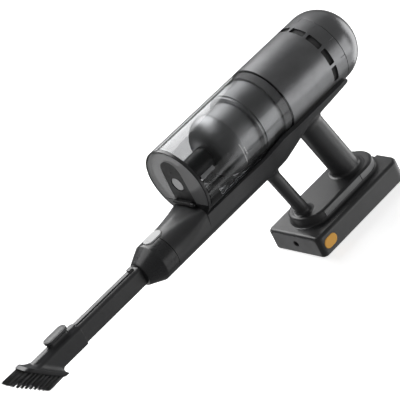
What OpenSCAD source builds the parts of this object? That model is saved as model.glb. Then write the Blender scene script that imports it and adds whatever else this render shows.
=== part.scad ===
// Cordless handheld vacuum: clear dust bin and motor in one barrel, on a saddle that
// carries the suction duct, a leaning grip and strut, and a slide-on battery that is
// also the foot. A crevice tool with a sliding dusting brush plugs into the duct.
// Millimetres. +X runs from the nozzle to the motor, +Z up.
// Origin: centre of the battery's underside.

/* [Barrel] */
// Height of the barrel's centreline above the battery's underside
barrel_z = 183; // [178:0.5:190]
// Distance of the bin's front face ahead of the battery's centre
bin_front = 179; // [175:0.5:183]
// Outer diameter of the dust bin and the motor housing
barrel_d = 90; // [88:0.5:92]
// Length of the dust bin, lid included
bin_len = 147.4; // [145:0.2:150]
// Length of the motor housing up to the rear cap
housing_len = 97.6; // [95:0.2:100]
// Straight length of the rear cap before its dome
cap_straight = 5; // [3:0.5:8]
// Length of the dome
dome_len = 41; // [36:0.5:45]
// Wall thickness of the casings
wall = 2.4; // [2:0.1:2.6]

/* [Vents] */
// Distance of the vents behind the front of the motor housing
vent_offset = 72.6; // [66:0.2:80]
// Length of a vent along the barrel
vent_len = 7; // [4:0.5:9]
// Width of a vent around the barrel
vent_w = 16.8; // [10:0.2:18]
// Angle between neighbouring vents
vent_pitch = 30; // [26:1:34]

/* [Dust bin] */
// Thickness of the lid
lid_t = 4; // [3:0.2:5]
// Drop of the lid's hinge below the centreline
hinge_drop = 23.7; // [23.5:0.1:24]
// Width of the lid's strap
strap_w = 34; // [28:1:36]
// Diameter of the round button on the lid
lid_button_d = 16.8; // [15:0.2:19]
// Largest radius of the cyclone's bell
bell_r = 38.5; // [34:0.5:39]

/* [Duct] */
// Outer diameter of the suction duct
duct_d = 47.2; // [45:0.2:49]
// Drop of the duct below the barrel's centreline
duct_drop = 50; // [49:0.5:51]
// Length of the duct ahead of the bin
duct_len = 54.3; // [50:0.5:60]
// Bore of the duct
duct_bore = 40; // [38:0.5:41]

/* [Nozzle] */
// Length of the collar that carries on the duct
collar_len = 19.1; // [16:0.5:24]
// Length of the cone from the collar down to the crevice tool
cone_len = 19.3; // [14:0.5:24]
// Length of the crevice tool
crevice_len = 153; // [140:1:160]
// Height of the crevice tool
crevice_h = 24; // [22:0.5:25]
// Width of the crevice tool
crevice_w = 14.5; // [13:0.5:15]
// Length of the brush's sleeve along its top
sleeve_len = 66; // [60:1:70]
// Length of the bristles
bristle_len = 25; // [18:1:28]

/* [Handle] */
// Diameter of the grip
grip_d = 34; // [30:0.5:36]
// Diameter of the front strut
strut_d = 16; // [12:0.5:18]
// Rearward lean of the grip and the strut
lean = 14.5; // [12:0.5:16]

/* [Battery] */
// Length of the battery
battery_len = 153; // [150:0.5:160]
// Width of the battery
battery_w = 84.5; // [82:0.5:90]
// Height of the battery
battery_h = 27.5; // [27.5:0.1:29]
// Number of cells
cells = 6; // [4:1:6]
// Rounding of the battery's long edges
edge_r = 6; // [4:0.5:8]

/* [Hidden] */
$fn = 64;
gap = 0.3;
barrel_r = barrel_d / 2;
inner_r = barrel_r - wall;
housing_x0 = bin_len;
housing_x1 = bin_len + housing_len;
dome_x = housing_x1 + cap_straight;
dome_end = dome_x + dome_len;
duct_r = duct_d / 2;
bore_r = duct_bore / 2;
saddle_r = barrel_r + gap;
hinge_x = -2.45;
hinge_r = 2.4;
sill_top = -hinge_drop - 0.2;
charcoal = "#3f4144";
dark = "#2a2b2d";
rubber = "#1c1c1d";
steel = "#b9bcc0";
button_grey = "#b9bbbc";
screw_x = [housing_x0 + 12, housing_x0 + 82];
screw_r = 1.45;
screw_head_r = 2.6;
screw_seat = barrel_r + 3;

// ---------- helpers ----------

// Barrel frame: origin at the centre of the bin's front face
module on_barrel() translate([-bin_front, 0, barrel_z]) children();

// Duct frame: the same, dropped to the duct's centreline
module on_duct() translate([-bin_front, 0, barrel_z - duct_drop]) children();

// Solid rod along X
module rod(r, x0, x1) translate([x0, 0, 0]) rotate([0, 90, 0]) cylinder(r = r, h = x1 - x0);

// Tube along X
module tube(ro, ri, x0, x1) difference() {
    rod(ro, x0, x1);
    rod(ri, x0 - 1, x1 + 1);
}

// Outline of [radius, x] points turned about the X axis
module turned() rotate([0, 90, 0]) rotate_extrude() children();

// Box between two corners
module block(a, b) translate(a) cube(b - a);

// Side profile of [x, z] points, made solid across the middle plane
module across(w) translate([0, w / 2, 0]) rotate([90, 0, 0]) linear_extrude(w) children();

// Rectangle with round corners
module round_rect(w, h, r) {
    square([w - 2 * r, h], center = true);
    square([w, h - 2 * r], center = true);
    for (x = [-1, 1], y = [-1, 1])
        translate([x * (w / 2 - r), y * (h / 2 - r)]) circle(r);
}

// Round-ended bar lying along X
module pill(l, w, h) linear_extrude(h) round_rect(l, w, w / 2 - 0.01);

// Rounded rectangular bar along X, h high and w wide
module bar(w, h, r, x0, x1) translate([x0, 0, 0]) rotate([0, 90, 0])
    linear_extrude(x1 - x0) round_rect(h, w, r);

// Coil spring standing on the origin along +Z
module coil(r, wire, turns, len) {
    per_turn = 12;
    sides = 6;
    n = turns * per_turn;
    points = [for (i = [0 : n], k = [0 : sides - 1])
        let (a = 360 * i / per_turn, b = 360 * k / sides, q = r + wire * cos(b))
        [q * cos(a), q * sin(a), wire + (len - 2 * wire) * i / n + wire * sin(b)]];
    skin = [for (i = [0 : n - 1], k = [0 : sides - 1])
        let (m = (k + 1) % sides, a = i * sides, b = a + sides)
        [a + k, b + k, b + m, a + m]];
    ends = [[for (k = [0 : sides - 1]) k], [for (k = [sides - 1 : -1 : 0]) n * sides + k]];
    polyhedron(points, concat(skin, ends), convexity = 6);
}

// ---------- saddle and duct ----------

// Thin slice of the saddle: a disc of radius r, dropped below the centreline
module slice(x, r, drop) translate([0, 0, -drop]) rod(r, x - 0.5, x + 0.5);

// Concave skirt of a leaning tube: radius r at its foot, flaring by f over the height f
module skirt(r, f, tail) rotate_extrude() difference() {
    square([r + f, f + tail]);
    translate([r + f, 0]) circle(f);
}

grip_top = [14.7, 108.7];
strut_top = [-61.7, 99];
foot_top_z = 40;
foot_skirt = 10;

// Places its children on a leaning tube's axis, with its top at the origin
module leaning(top) translate([top[0], 0, top[1]]) rotate([0, -lean, 0]) children();
grip_run = (grip_top[1] - foot_top_z - foot_skirt) / cos(lean);
strut_run = (strut_top[1] - foot_top_z - foot_skirt) / cos(lean);

module saddle_outline() polygon([[-80, -90], [241, -90], [243.4, -60], [243.4, -43],
    [241.5, -35], [236.5, -29.8], [226, -27.2], [122, -23.2], [100, -20], [-80, -20]]);

// Shoulders of the duct under the bin, as wide as the flare's lip
module shoulders() rotate([90, 0, 90]) linear_extrude(104)
    polygon([[-27, -36], [27, -36], [duct_r - 2, -60], [2 - duct_r, -60]]);

// Hollow of the saddle, a wall inside its underside and a wall below the barrel
module saddle_cavity() difference() {
    union() {
        hull() {
            slice(112, 31, 35.5);
            slice(150, 41.6 - wall, 21.5);
        }
        hull() {
            slice(150, 41.6 - wall, 21.5);
            slice(215, 46.1 - wall, 6.9);
        }
    }
    rod(saddle_r + wall, 0, 300);
    block([0, -60, -36], [300, 60, 60]);
}

module spine_housing() color(charcoal) difference() {
    union() {
        on_barrel() intersection() {
            union() {
                translate([0, 0, -duct_drop]) rod(duct_r, -duct_len, 104);
                shoulders();
                hull() {
                    slice(-46, duct_r, duct_drop);
                    translate([0.5, 0, 0]) slice(-1, duct_r, duct_drop);
                    for (s = [-1, 1]) translate([0, s * 21, 0]) slice(-0.5, 6, 36);
                }
                hull() {
                    slice(80, duct_r, duct_drop);
                    slice(128, 42.9, 25.9);
                }
                hull() {
                    slice(128, 42.9, 25.9);
                    slice(150, 41.6, 21.5);
                }
                hull() {
                    slice(150, 41.6, 21.5);
                    slice(215, 46.1, 6.9);
                }
                hull() {
                    slice(215, 46.1, 6.9);
                    slice(243, 47.3, 3);
                }
            }
            across(120) saddle_outline();
        }
        leaning(grip_top) {
            cylinder(d = grip_d, h = 20);
            translate([0, 0, 8]) skirt(grip_d / 2, 6, 5);
        }
        leaning(strut_top) {
            cylinder(d = strut_d, h = 20);
            translate([0, 0, 3.5]) skirt(strut_d / 2, 6, 8);
        }
    }
    on_barrel() {
        rod(saddle_r, 0, housing_x0);
        rod(barrel_r + 0.05, housing_x0 - 1, 300);
    }
    on_duct() {
        rod(bore_r, -duct_len - 1, 1);
        rod(duct_r - wall, 3, 100);
        translate([-58, 0, bore_r + 1.0]) pill(24.8, 14.3, 6);
    }
    leaning(grip_top) translate([0, 0, -1]) cylinder(d = 10, h = 40);
    on_barrel() {
        saddle_cavity();
        for (x = screw_x) translate([x, 0, 0]) {
            translate([0, 0, -80]) cylinder(r = screw_head_r + 0.4, h = 80 - screw_seat);
            translate([0, 0, -60]) cylinder(r = screw_r + 0.05, h = 20);
        }
    }
}

// ---------- motor housing and its contents ----------

module motor_housing() color(charcoal) on_barrel() difference() {
    tube(barrel_r, inner_r, housing_x0, housing_x1);
    for (a = [-3.5 : 3.5]) rotate([a * vent_pitch, 0, 0])
        block([housing_x0 + vent_offset, -vent_w / 2, inner_r - 4],
            [housing_x0 + vent_offset + vent_len, vent_w / 2, barrel_r + 4]);
    translate([housing_x0 + 30, 0, -inner_r - 6]) cylinder(d = 10, h = 10);
    for (x = screw_x) translate([x, 0, -60]) cylinder(r = screw_r + 0.05, h = 30);
}

// Half outline of a dome of radius r and length l, from the rim to the radius r_min
function dome(x0, r, l, r_min) = let (a1 = acos(r_min / r))
    [for (i = [0 : 14]) let (a = a1 * i / 14) [r * cos(a), x0 + l * sin(a)]];

power_button_r = 9;
module rear_cap() color(dark) on_barrel() turned() {
    outer = dome(dome_x, barrel_r, dome_len, power_button_r + 0.06);
    inside = dome(dome_x, inner_r, dome_len - wall, power_button_r + wall);
    polygon(concat([[barrel_r, housing_x1]], outer,
        [[power_button_r + 0.06, dome_end - 8], [power_button_r + wall, dome_end - 8]],
        [for (i = [len(inside) - 1 : -1 : 0]) inside[i]],
        [[inner_r, housing_x1 + 3], [inner_r - 2, housing_x1 + 3],
        [inner_r - 2, housing_x1 - 5], [inner_r - 0.1, housing_x1 - 5],
        [inner_r - 0.1, housing_x1]]));
}

board_x = dome_x + 4;
module power_button() color(button_grey) on_barrel() {
    x1 = dome_end - 0.4;
    rod(power_button_r, dome_end - 8.5, x1);
    rod(power_button_r + 1.8, dome_end - 10.4, dome_end - 8.3);
    rod(2, board_x + 19, dome_end - 10);
}

module power_button_spring() color(steel) on_barrel()
    translate([board_x + 17.1, 0, 0]) rotate([0, 90, 0]) coil(4, 0.35, 4, 7.6);

module control_board() color("#1f5a3c") on_barrel() {
    tube(36, 4, board_x, board_x + 1.6);
    rod(6, board_x + 1.6, board_x + 17);
    rod(5.2, board_x - 1, board_x + 1.6);
    for (s = [-1, 1]) translate([0, s * 22, 8]) rod(5, board_x - 14, board_x);
    block([board_x - 6, -14, -26], [board_x, 14, -14]);
}

module motor_bulkhead() color(dark) on_barrel() difference() {
    union() {
        rod(inner_r - 0.05, housing_x0 + 1, housing_x0 + 4);
        tube(17.5, 15, housing_x0 + 4, housing_x0 + 6.5);
    }
    rod(6, 0, 400);
    for (a = [0 : 60 : 300]) rotate([a, 0, 0]) translate([0, 0, 11]) rod(3.6, 0, 400);
}

fan_x = housing_x0 + 8;
module fan_cover() color("#5b5e63") on_barrel() turned()
    polygon([[13, fan_x], [14.5, fan_x - 1.4], [19, fan_x + 1], [28, fan_x + 8.5],
        [31, fan_x + 11], [31, fan_x + 27], [29.6, fan_x + 27], [29.6, fan_x + 12],
        [27, fan_x + 9.8], [18, fan_x + 3], [13.6, fan_x + 1.6]]);

can_x0 = fan_x + 21;
can_x1 = can_x0 + 44;
can_r = 23.5;
shaft_r = 2.5;
module rotor_shaft() color(steel) on_barrel() rod(shaft_r, fan_x + 3, can_x1 - 0.5);

module rotor_magnet() color("#6f7278") on_barrel() tube(8.4, shaft_r, can_x0 + 12, can_x0 + 32);

module impeller() color("#8d9196") on_barrel() difference() {
    union() {
        rod(27, fan_x + 13, fan_x + 14.6);
        turned() polygon([[0, fan_x + 4], [4.5, fan_x + 4.5], [7, fan_x + 9],
            [12, fan_x + 13.1], [0, fan_x + 13.1]]);
        for (a = [0 : 360 / 9 : 359]) rotate([a, 0, 0]) across(1.2)
            polygon([[fan_x + 6, 4], [fan_x + 4.4, 12], [fan_x + 5.4, 17.5],
                [fan_x + 11.6, 25.4], [fan_x + 13.2, 26.4], [fan_x + 13.2, 4]]);
    }
    rod(shaft_r, 0, 400);
}

module diffuser() color("#4d5055") on_barrel() difference() {
    tube(29.5, 7, fan_x + 15.6, fan_x + 20.9);
    for (a = [0 : 24 : 359]) rotate([a, 0, 0])
        block([0, -1.6, 23], [400, 1.6, 27.5]);
}

module motor_can() color("#a8abb0") on_barrel() difference() {
    rod(can_r, can_x0, can_x1);
    rod(can_r - 1.4, can_x0 + 4, can_x1 - 4);
    rod(6.5, 0, can_x0 + 3);
    rod(6.5, can_x1 - 3, 400);
    rod(3.5, 0, 400);
    for (a = [0 : 60 : 300]) rotate([a, 0, 0]) translate([0, 0, 15]) rod(3.6, 0, 400);
}

bearing_w = 2.9;
module shaft_bearings() color(steel) on_barrel()
    for (x = [can_x0 + 0.05, can_x1 - bearing_w - 0.05]) tube(6.5, shaft_r + 0.03, x, x + bearing_w);

module stator_core() color("#55585c") on_barrel() {
    tube(can_r - 1.45, 18.6, can_x0 + 12, can_x0 + 32);
    for (a = [0 : 60 : 300]) rotate([a, 0, 0])
        block([can_x0 + 12, -2.2, 9.2], [can_x0 + 32, 2.2, 18.8]);
}

module stator_coils() color("#b06a35") on_barrel()
    for (a = [0 : 60 : 300]) rotate([a, 0, 0]) difference() {
        block([can_x0 + 8, -4.6, 11], [can_x0 + 36, 4.6, 17.6]);
        block([can_x0 + 11.9, -2.3, 0], [can_x0 + 32.1, 2.3, 20]);
    }

module motor_mounts() color(rubber) on_barrel() {
    tube(inner_r - 0.1, 31.05, fan_x + 18, fan_x + 24);
    difference() {
        tube(inner_r - 0.1, can_r + 0.05, can_x1 - 12, can_x1 - 7);
        for (a = [0 : 45 : 315]) rotate([a, 0, 0]) translate([0, 0, 33]) rod(6.2, 0, 400);
    }
}

module exhaust_filter() color("#d9d6cc") on_barrel()
    tube(inner_r - 0.3, 34, can_x1 - 6, housing_x1 - 6);

// ---------- handle ----------

module handle_grip() color(charcoal) leaning(grip_top) difference() {
    translate([0, 0, -grip_run]) cylinder(d = grip_d, h = grip_run);
    translate([0, 0, -grip_run - 1]) cylinder(d = grip_d - 6, h = grip_run - 3);
    translate([0, 0, -grip_run - 1]) cylinder(d = 10, h = grip_run + 2);
}

module front_strut() color(charcoal) leaning(strut_top) difference() {
    translate([0, 0, -strut_run]) cylinder(d = strut_d, h = strut_run);
    translate([0, 0, -strut_run - 1]) cylinder(d = strut_d - 5, h = strut_run - 2);
}

foot_z = battery_h + gap;
foot_bottom = [-66, 69];
foot_top = [-57, 61];
foot_r = 30;
module foot_end(x, z, r) translate([x, 0, z]) cylinder(r = r, h = 0.01);

// Foot of a leaning tube: a short stub, and a flare f wider down to the level top
module tube_foot(top, run, d, f) {
    leaning(top) translate([0, 0, -run - 6]) cylinder(d = d, h = 6);
    hull() {
        leaning(top) translate([0, 0, -run - 4]) cylinder(d = d, h = 0.01);
        translate([top[0] + (top[1] - foot_top_z) * tan(lean), 0, foot_top_z - 1])
            cylinder(d = d + 2 * f, h = 1);
    }
}

module handle_foot() color(charcoal) difference() {
    union() {
        hull() {
            foot_end(foot_bottom[0] + foot_r, foot_z, foot_r);
            foot_end(foot_bottom[1] - foot_r, foot_z, foot_r);
            foot_end(foot_top[0] + foot_r - 1, foot_top_z - 0.01, foot_r - 1);
            foot_end(foot_top[1] - foot_r + 1, foot_top_z - 0.01, foot_r - 1);
        }
        tube_foot(grip_top, grip_run, grip_d, 5);
        tube_foot(strut_top, strut_run, strut_d, 3.5);
    }
    block([-100, -50, 0], [100, 50, foot_z]);
    block([-49, -20, 0], [51, 20, foot_z + 8]);
    leaning(grip_top) translate([0, 0, -grip_run - 40]) cylinder(d = 10, h = 60);
    for (s = [-1, 1]) translate([-7, s * foot_r, foot_z + 6])
        cube([66.4, 2.8, 7.4], center = true);
}

module foot_grip_strips() color("#5d5f62")
    for (s = [-1, 1]) translate([-7, s * (foot_r - 0.7), foot_z + 6]) difference() {
        cube([66, 1.3, 7], center = true);
        for (i = [-15 : 15]) translate([i * 2.1, s * 0.65, 0]) cube([0.9, 0.5, 8], center = true);
    }

// ---------- battery ----------

slot_w = 16.6;
slot_flange_w = 22.6;
slot_z0 = battery_h - 5.8;
slot_lip_z = battery_h - 3;
slot_x0 = -52;
module battery_rail() color(dark) difference() {
    union() {
        block([-48.8, -19.8, foot_z], [50.8, 19.8, foot_z + 2.5]);
        block([slot_x0 + 0.6, gap - slot_w / 2, slot_lip_z - 1], [64, slot_w / 2 - gap, foot_z]);
        block([slot_x0 + 0.6, gap - slot_flange_w / 2, slot_z0 + gap],
            [64, slot_flange_w / 2 - gap, slot_lip_z - gap]);
    }
    for (y = [-5, 0, 5]) block([slot_x0, y - 0.5, 0], [slot_x0 + 12, y + 0.5, 60]);
}

module contact_blades() color("#c9a24a")
    for (y = [-5, 0, 5]) {
        block([slot_x0 + 0.7, y - 0.45, slot_z0 + gap], [slot_x0 + 11.5, y + 0.45, foot_z]);
        block([slot_x0 + 3.5, y - 0.45, foot_z], [slot_x0 + 11.5, y + 0.45, foot_z + 5]);
    }

// Battery outline: long edges rounded by edge_r, upright edges by corner_r
corner_r = 7;
module battery_form() intersection() {
    linear_extrude(battery_h) round_rect(battery_len, battery_w, corner_r);
    translate([0, 0, battery_h / 2]) bar(battery_w, battery_h, edge_r, -battery_len, battery_len);
}

cap_t = 3;
cap_x = -battery_len / 2 + cap_t;
battery_button = [-60, 13.8];
battery_button_l = 20.4;
battery_button_h = 13.8;
cell_d = 18.2;
cell_z = 2.2 + cell_d / 2;
cell_x0 = -44.5;
cell_pitch = cell_d + 0.3;
module battery_case() color(charcoal) {
    difference() {
        battery_form();
        block([-100, -100, -1], [cap_x, 100, 50]);
        block([cap_x - 1, -39.4, 2], [73, 39.4, slot_z0 - 1.2]);
        block([slot_x0, -slot_w / 2, slot_lip_z - 1], [100, slot_w / 2, 60]);
        block([slot_x0, -slot_flange_w / 2, slot_z0], [100, slot_flange_w / 2, slot_lip_z]);
        for (y = [-5, 0, 5]) block([slot_x0, y - 1, slot_z0 - 2], [100, y + 1, slot_z0 + 1]);
        for (s = [-1, 1]) translate([battery_button[0], s * 41, battery_button[1]])
            rotate([90, 0, 0]) translate([0, 0, -5]) pill(battery_button_l + 0.2, battery_button_h + 0.2, 10);
    }
    for (s = [-1, 1]) translate([battery_button[0], s * 30.5, 10.4])
        cube([9, 1.6, 17], center = true);
}

module battery_end_cap() color("#55575a") difference() {
    intersection() {
        battery_form();
        block([-100, -100, -1], [cap_x - 0.02, 100, 50]);
    }
    translate([-100, 0, jack_z]) rotate([0, 90, 0]) cylinder(d = 7.6, h = 100);
}

jack_z = 14.2;
module charge_jack() color("#1a1a1a") translate([cap_x + 0.2, 0, jack_z]) difference() {
    translate([0, -5, -6]) cube([12, 10, 11]);
    translate([-1, 0, 0]) rotate([0, 90, 0]) cylinder(d = 5.6, h = 11);
}

module battery_cells() color("#3a78a8")
    for (i = [0 : cells - 1]) translate([cell_x0 + i * cell_pitch, 32.5, cell_z])
        rotate([90, 0, 0]) cylinder(d = cell_d, h = 65);

module cell_straps() color(steel)
    for (s = [-1, 1], i = [0 : cells / 2 - 1])
        translate([cell_x0 + (2 * i + 0.5) * cell_pitch, s * 32.7, cell_z])
            cube([cell_pitch + 8, 0.3, 7], center = true);

module battery_board() color("#1f5a3c") {
    block([-57.6, -27, 3], [-56, 27, 20]);
    for (y = [-16, 0, 16]) block([-60.4, y - 3, 6], [-57.6, y + 3, 12]);
}

module battery_button_springs() color(steel)
    for (s = [-1, 1]) translate([battery_button[0], s * 31.4, battery_button[1]])
        rotate([-s * 90, 0, 0]) coil(3.2, 0.35, 3, 3.6);

module battery_button(side) color("#e0a450")
    translate([battery_button[0], 0, battery_button[1]]) {
        outside = battery_w / 2 + 0.4;
        for (p = [[battery_button_l, battery_button_h, 39.1, outside],
                [battery_button_l + 2.4, battery_button_h - 0.8, 37.6, 39.2]])
            translate([0, side * (side > 0 ? p[3] : p[2]), 0]) rotate([90, 0, 0])
                pill(p[0], p[1], p[3] - p[2]);
    }
module battery_button_left() battery_button(-1);
module battery_button_right() battery_button(1);

// Two insulated conductors from the battery contacts up through the grip
module power_lead() color("#a03028") leaning(grip_top)
    for (y = [-2, 2]) translate([0, y, -grip_run - 12]) cylinder(d = 3, h = grip_run + 34);

// Screws that hold the saddle to the motor housing
module housing_screws() color(steel) on_barrel()
    for (x = screw_x) translate([x, 0, -screw_seat]) {
        cylinder(r = screw_r, h = screw_seat - inner_r);
        translate([0, 0, -1.4]) cylinder(r = screw_head_r, h = 1.4);
    }

// ---------- dust bin ----------

module bin_shell() color("#8f9296", 0.45) on_barrel()
    tube(barrel_r, inner_r, lid_t + gap, housing_x0 - gap);

// Dark inlet at the foot of the bin: a sill behind the duct and a channel into the bin
inlet_x1 = 34;
module inlet_channel(x0, x1) block([x0, -15, -38.5], [x1, 15, -27]);
module bin_inlet() color(dark) on_barrel() difference() {
    union() {
        intersection() {
            rod(barrel_r, gap, lid_t + gap);
            block([-1, -50, -50], [10, 50, sill_top]);
        }
        intersection() {
            rod(inner_r - 0.02, lid_t + gap - 0.1, inlet_x1);
            block([0, -17.5, -50], [50, 17.5, sill_top]);
        }
        for (s = [-1, 1]) translate([hinge_x, s * 14 - 2.5, -hinge_drop]) rotate([-90, 0, 0])
            cylinder(r = hinge_r, h = 5);
        for (s = [-1, 1]) block([hinge_x, s * 14 - 2.5, -hinge_drop - hinge_r],
            [gap + 0.1, s * 14 + 2.5, sill_top]);
    }
    inlet_channel(-1, 50);
    translate([hinge_x, -30, -hinge_drop]) rotate([-90, 0, 0]) cylinder(d = 2.04, h = 60);
}

module inlet_flap() color(rubber) on_barrel() {
    block([inlet_x1 + gap, -16, -38.2], [inlet_x1 + 1.5, 16, -26]);
    translate([inlet_x1 + 0.9, -16, -26]) rotate([-90, 0, 0]) cylinder(r = 0.6, h = 32);
}

core_r = 14;
module cyclone_core() color("#303133") on_barrel() tube(core_r, core_r - 0.9, 6.5, 49);

// Bell that turns the air: a smooth flare from the core's end out to the rim
bell_x0 = 49.05;
bell_x1 = 74;
function bell(off) = [for (i = [0 : 12]) let (a = 90 * i / 12)
    [core_r - 1 + (bell_r - core_r + 1) * sin(a) - off,
        bell_x0 + (bell_x1 - bell_x0) * (1 - cos(a)) + off * 0.4]];
module cyclone_bell() color("#3a3b3d") on_barrel() turned() {
    inside = bell(1.8);
    polygon(concat(bell(0), [for (i = [12 : -1 : 0]) inside[i]]));
}

mesh_x1 = 103;
module cyclone_mesh() color("#7b7e82") on_barrel() tube(34.8, 33.6, bell_x1 + 1, mesh_x1);

module filter_frame() color("#26272a") on_barrel() {
    tube(41.6, 39.6, mesh_x1 + 3, mesh_x1 + 15);
    tube(39.7, 33.6, mesh_x1 + 0.02, mesh_x1 + 5);
    tube(39.7, 38, mesh_x1 + 5, 136);
}

pleats = 40;
module hepa_filter() color("#e8e6df") on_barrel() translate([mesh_x1 + 5.1, 0, 0]) rotate([0, 90, 0])
    linear_extrude(26) difference() {
        polygon([for (i = [0 : 2 * pleats - 1]) let (a = 180 * i / pleats, r = i % 2 == 0 ? 37.5 : 31)
            [r * cos(a), r * sin(a)]]);
        polygon([for (i = [0 : 2 * pleats - 1]) let (a = 180 * i / pleats, r = i % 2 == 0 ? 35 : 28.5)
            [r * cos(a), r * sin(a)]]);
    }

module bin_seal() color(rubber) on_barrel() tube(inner_r - 0.05, 38.2, 136.2, housing_x0 - 1);

// ---------- lid ----------

module above_hinge() block([-20, -60, -hinge_drop + 0.2], [20, 60, 60]);

module lid_hinge_pin() color(steel) on_barrel() translate([hinge_x, -16.5, -hinge_drop])
    rotate([-90, 0, 0]) cylinder(d = 2, h = 33);

module lid_frame() color("#707377", 0.6) on_barrel() intersection() {
    above_hinge();
    union() {
        tube(barrel_r, 41.5, 0, lid_t);
        difference() {
            rod(42, 0, lid_t);
            block([-1, -50, -hinge_drop + 3.2], [lid_t + 1, 50, 50]);
            strap_bar(0.05, -1, lid_t + 1);
        }
    }
}

module lid_window() color("#b7babd", 0.5) on_barrel() difference() {
    intersection() {
        rod(41.45, 0.8, 3.2);
        block([0, -60, -hinge_drop + 3.25], [10, 60, 60]);
    }
    strap_bar(0.05, -1, 10);
}

// Strap with a round top that widens down to the hinge, grown by a margin m
strap_top = 31;
strap_r = 15.5;
strap_x0 = 0.6;
strap_x1 = 3.9;
module strap_bar(m, x0, x1) rotate([90, 0, 90]) translate([0, 0, x0]) linear_extrude(x1 - x0) {
    translate([0, strap_top - strap_r]) circle(strap_r + m);
    polygon([[-strap_r - m, strap_top - strap_r], [strap_r + m, strap_top - strap_r],
        [strap_w / 2 + m, -hinge_drop], [-strap_w / 2 - m, -hinge_drop]]);
}

module lid_strap() color("#34363a") on_barrel() difference() {
    union() {
        intersection() {
            strap_bar(0, strap_x0, strap_x1);
            above_hinge();
        }
        translate([hinge_x, -11.2, -hinge_drop]) rotate([-90, 0, 0]) cylinder(r = hinge_r, h = 22.4);
        block([hinge_x, -11.2, -hinge_drop + 0.2], [strap_x0 + 0.1, 11.2, -hinge_drop + hinge_r]);
        tube(lid_button_d / 2 + 1.4, lid_button_d / 2 + 0.06, strap_x0 + 0.1, lid_button_x + 10);
    }
    rod(lid_button_d / 2 + 0.06, -20, 20);
    translate([hinge_x, -30, -hinge_drop]) rotate([-90, 0, 0]) cylinder(d = 2.04, h = 60);
}

module lid_seal() color(rubber) on_barrel() intersection() {
    above_hinge();
    tube(41.9, 40, lid_t, lid_t + 1);
}

lid_button_x = 1.2;
module lid_button() color(button_grey) on_barrel() {
    rod(lid_button_d / 2, lid_button_x, lid_button_x + 4.5);
    rod(4, lid_button_x + 4.4, lid_button_x + 7);
}

module lid_button_spring() color(steel) on_barrel()
    translate([lid_button_x + 6.9, 0, 0]) rotate([0, 90, 0]) coil(6, 0.3, 2, 2.6);

module lid_latch() color("#8a8c8f") on_barrel() {
    block([lid_button_x + 9.6, -3, -5], [lid_button_x + 11, 3, 6.5]);
    block([lid_button_x + 10.9, -3, 4.5], [lid_button_x + 14.2, 3, 6.5]);
}

// ---------- nozzle ----------

collar_x1 = -duct_len - gap;
cone_x1 = collar_x1 - collar_len;
tip_x1 = cone_x1 - cone_len;
module tool_adapter() color(dark) on_duct() difference() {
    turned() polygon([[17.5, -28], [bore_r - gap, -28], [bore_r - gap, collar_x1],
        [duct_r, collar_x1], [duct_r, cone_x1], [14.3, tip_x1], [6, tip_x1],
        [6, tip_x1 + 2], [17.5, cone_x1]]);
    translate([-58, 0, bore_r + 1.0]) pill(24.8, 14.3, 6);
}

module nozzle_button() color(button_grey) on_duct()
    translate([-58, 0, bore_r + 2.1]) pill(24, 13.5, 2.5);

module crevice_tube() color(charcoal) on_duct() {
    difference() {
        bar(crevice_w, crevice_h, 5, tip_x1 - crevice_len, tip_x1 - 0.02);
        bar(crevice_w - 3.4, crevice_h - 3.4, 3.4, tip_x1 - crevice_len - 1, tip_x1 + 1);
    }
    block([-190, -2.6, crevice_h / 2 - 0.1], [tip_x1 - 4, 2.6, crevice_h / 2 + 1.6]);
    block([-104, -2.6, crevice_h / 2], [-98, 2.6, crevice_h / 2 + 3.4]);
}

sleeve_x = -190;
brush_button_x = -215;
mouth_top = [-270.3, 21];
mouth_low = [-232, -21];
mouth_h = mouth_top[1] - mouth_low[1];
flange_w = 25;
module mouth_band(d0, d1) across(60) polygon([[mouth_top[0] + d0 - 10, mouth_top[1] + 12],
    [mouth_low[0] + d0 + 10, mouth_low[1] - 12], [mouth_low[0] + d1 + 10, mouth_low[1] - 12],
    [mouth_top[0] + d1 - 10, mouth_top[1] + 12]]);

module brush_sleeve() color(dark) on_duct() {
    difference() {
        union() {
            intersection() {
                bar(crevice_w + 3, crevice_h + 3, 6, -290, sleeve_x);
                mouth_band(4, 200);
            }
            intersection() {
                bar(flange_w, mouth_h, 7, -290, -200);
                mouth_band(0, 7);
            }
            translate([brush_button_x, 0, crevice_h / 2 + 1]) pill(31, 10, 4.5);
        }
        bar(crevice_w + 0.6, crevice_h + 0.6, 5.3, -300, sleeve_x + 1);
        block([-300, -3, 0], [0, 3, crevice_h / 2 + 2.1]);
        translate([brush_button_x, 0, crevice_h / 2 + 3.4]) pill(24, 6, 10);
    }
}

module bristles() color("#161616") on_duct() difference() {
    intersection() {
        bar(flange_w - 4, mouth_h - 4, 5, -310, -200);
        mouth_band(-bristle_len, -0.02);
    }
    bar(crevice_w + 0.6, mouth_h - 12, 4, -320, -190);
}

module brush_button() color("#4a4c4f") on_duct()
    translate([brush_button_x, 0, crevice_h / 2 + 7]) {
        pill(31, 12.5, 3);
        translate([0, 0, -1.8]) pill(23, 5.4, 1.9);
    }

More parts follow.
